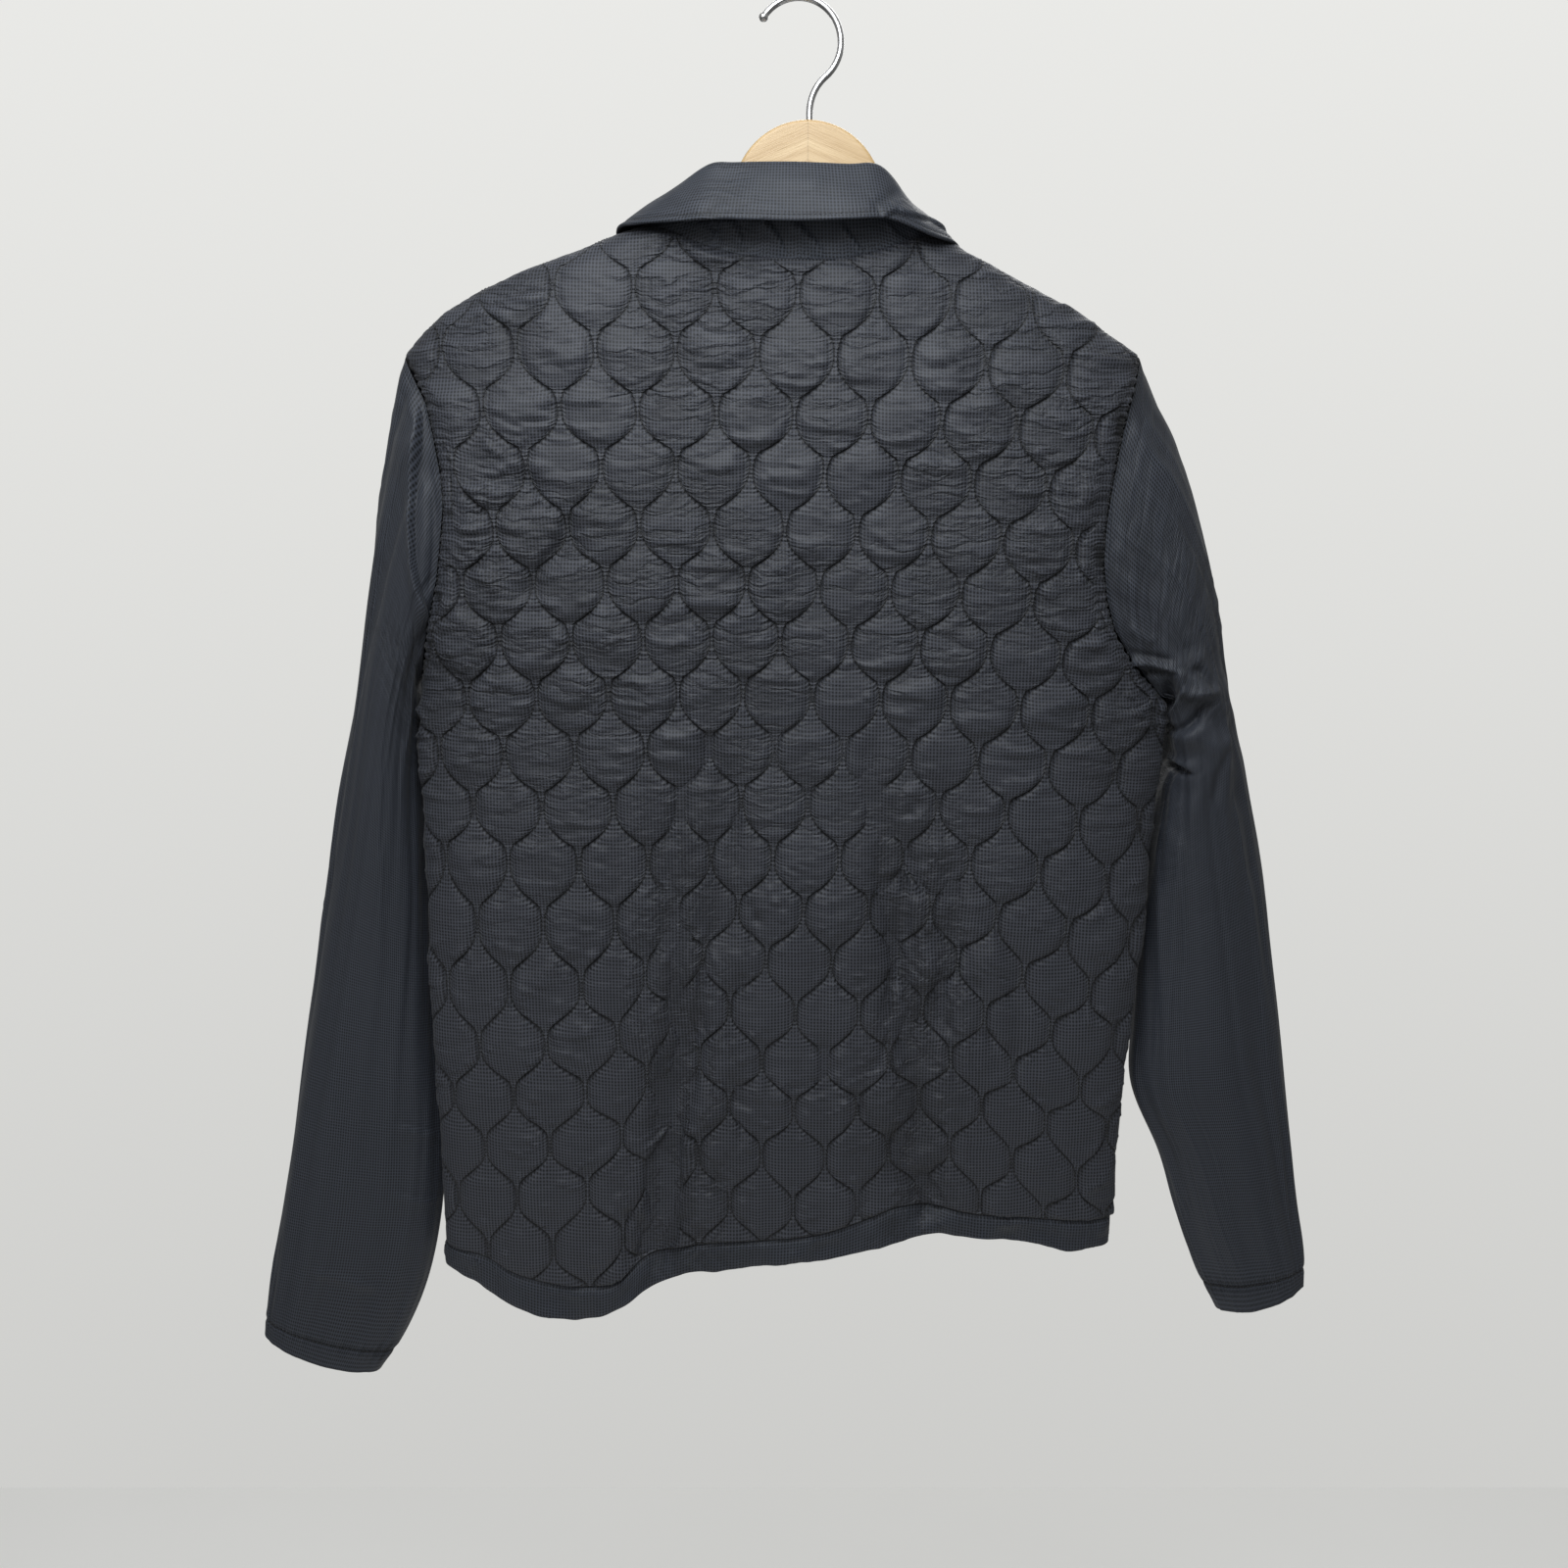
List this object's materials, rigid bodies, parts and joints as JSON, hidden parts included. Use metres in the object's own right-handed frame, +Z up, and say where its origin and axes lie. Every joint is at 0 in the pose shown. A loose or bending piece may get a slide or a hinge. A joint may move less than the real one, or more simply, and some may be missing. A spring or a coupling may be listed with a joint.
{
  "type": "quilted jacket on hanger",
  "caption": "Flat-hanging quilted jacket with a plain shirt collar, plain sleeves and a narrow hem band, held up by a wooden clothes hanger with a wire hook.",
  "frame": {"origin": "inside top of the hook's bend, where a rail or peg carries it", "axes": "+X to the wearer's right, +Y out of the jacket's front, +Z up; the back faces -Y"},
  "size_m": [0.697, 0.1016, 0.87],
  "materials": {
    "quilted_ripstop": "quilted ripstop, low sheen",
    "plain_ripstop": "plain ripstop, low sheen",
    "pale_wood": "satin varnish",
    "chrome_wire": "polished",
    "dark_snap": "dark satin"
  },
  "bodies": {
    "root": {"hanger_body": "pale_wood", "hanger_hook": "chrome_wire", "back_panel": "quilted_ripstop", "front_left": "quilted_ripstop", "front_right": "quilted_ripstop", "sleeve_left": "plain_ripstop", "sleeve_right": "plain_ripstop", "collar_stand": "plain_ripstop", "collar_fall": "plain_ripstop", "hem_band_back": "plain_ripstop", "hem_band_front_left": "plain_ripstop", "hem_band_front_right": "plain_ripstop", "snap_1": "dark_snap", "snap_2": "dark_snap", "snap_3": "dark_snap", "snap_4": "dark_snap", "snap_5": "dark_snap", "snap_6": "dark_snap"}
  },
  "joints": []
}
